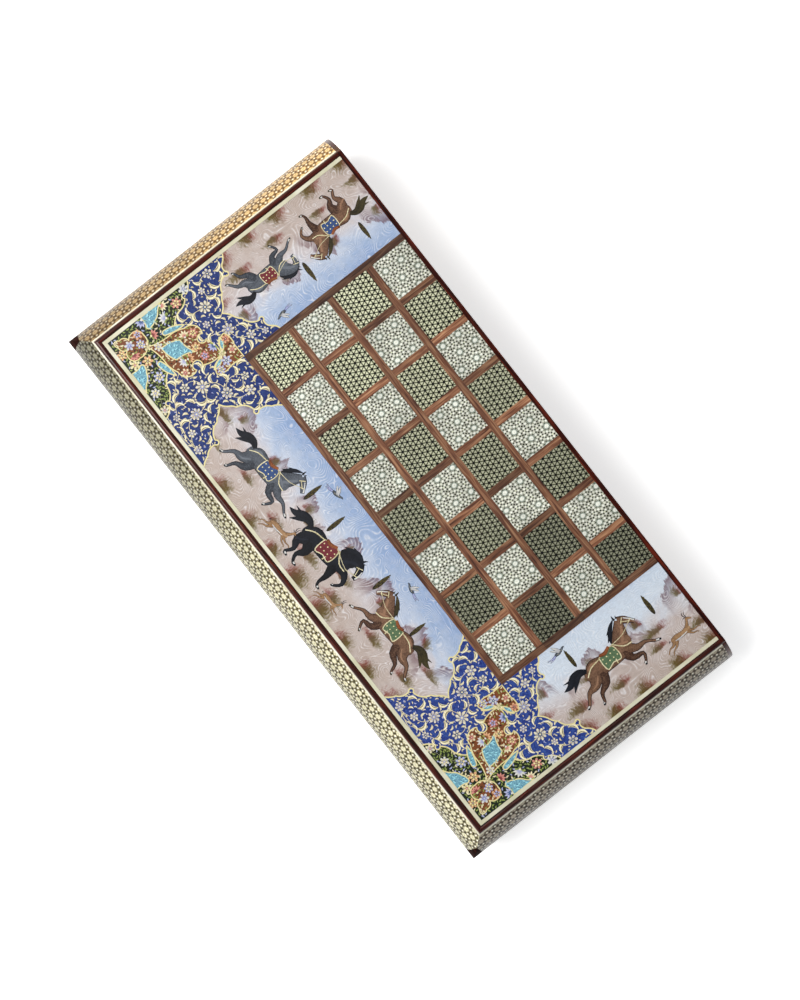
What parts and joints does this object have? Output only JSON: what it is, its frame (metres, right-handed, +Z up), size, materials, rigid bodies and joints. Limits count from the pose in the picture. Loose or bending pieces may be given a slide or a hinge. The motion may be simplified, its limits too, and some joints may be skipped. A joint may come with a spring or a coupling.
{
  "type": "folding backgammon case",
  "caption": "Folding wooden backgammon and chess case in two hinged halves with micro-mosaic inlay, curved mosaic sides and a painted border.",
  "frame": {"origin": "middle of the lower half's outer face, on which the closed case lies", "axes": "+X along the hinge edge, +Y towards the hinge edge, +Z up out of the closed case"},
  "size_m": [0.5, 0.2525, 0.058],
  "materials": {
    "board_wood": "planed softwood board, hidden by facings",
    "rail_wood": "planed hardwood, oiled inside",
    "rosewood": "polished and varnished dark rosewood",
    "band_mosaic": "varnished micro-mosaic sheet of wood, bone and brass",
    "bone_line": "polished pale bone stringing",
    "painted_ground": "hand painted ground under clear varnish",
    "light_mosaic": "varnished micro-mosaic, mostly bone",
    "dark_mosaic": "varnished micro-mosaic with ebony triangles",
    "walnut_strip": "varnished walnut with straight grain",
    "walnut_veneer": "varnished walnut veneer",
    "maple_mosaic": "varnished pale mosaic veneer",
    "ebony_mosaic": "varnished dark mosaic veneer",
    "rim_mosaic": "varnished mosaic strip",
    "hinge_brass": "rolled brass, satin",
    "screw_brass": "turned brass",
    "pin_steel": "drawn steel wire"
  },
  "bodies": {
    "lower_half": {"lower_board": "board_wood", "lower_front_rail": "rail_wood", "lower_left_rail": "rail_wood", "lower_right_rail": "rail_wood", "lower_hinge_rail": "rail_wood", "lower_hinge_lipping": "rosewood", "lower_front_band": "band_mosaic", "lower_left_band": "band_mosaic", "lower_right_band": "band_mosaic", "lower_corner_blocks": "rosewood", "lower_front_bead": "rosewood", "lower_left_bead": "rosewood", "lower_right_bead": "rosewood", "lower_ivory_lines": "bone_line", "lower_cream_lines": "bone_line", "lower_painted_panel": "painted_ground", "lower_light_tiles": "light_mosaic", "lower_dark_tiles": "dark_mosaic", "lower_lattice": "walnut_strip", "lower_field": "walnut_veneer", "lower_light_points": "maple_mosaic", "lower_dark_points": "ebony_mosaic", "lower_rim_facings": "rim_mosaic", "lower_hinge_leaves": "hinge_brass", "lower_hinge_screws": "screw_brass", "hinge_pins": "pin_steel"},
    "upper_half": {"upper_board": "board_wood", "upper_front_rail": "rail_wood", "upper_left_rail": "rail_wood", "upper_right_rail": "rail_wood", "upper_hinge_rail": "rail_wood", "upper_hinge_lipping": "rosewood", "upper_front_band": "band_mosaic", "upper_left_band": "band_mosaic", "upper_right_band": "band_mosaic", "upper_corner_blocks": "rosewood", "upper_front_bead": "rosewood", "upper_left_bead": "rosewood", "upper_right_bead": "rosewood", "upper_ivory_lines": "bone_line", "upper_cream_lines": "bone_line", "upper_painted_panel": "painted_ground", "upper_light_tiles": "light_mosaic", "upper_dark_tiles": "dark_mosaic", "upper_lattice": "walnut_strip", "upper_field": "walnut_veneer", "upper_light_points": "maple_mosaic", "upper_dark_points": "ebony_mosaic", "upper_rim_facings": "rim_mosaic", "upper_hinge_leaves": "hinge_brass", "upper_hinge_screws": "screw_brass"}
  },
  "joints": [
    {"name": "case_hinge", "type": "hinge", "parent": "lower_half", "child": "upper_half", "pos_m": [0, 0.1253, 0.029], "axis": [-1, 0, 0], "range_deg": [0, 180]}
  ]
}
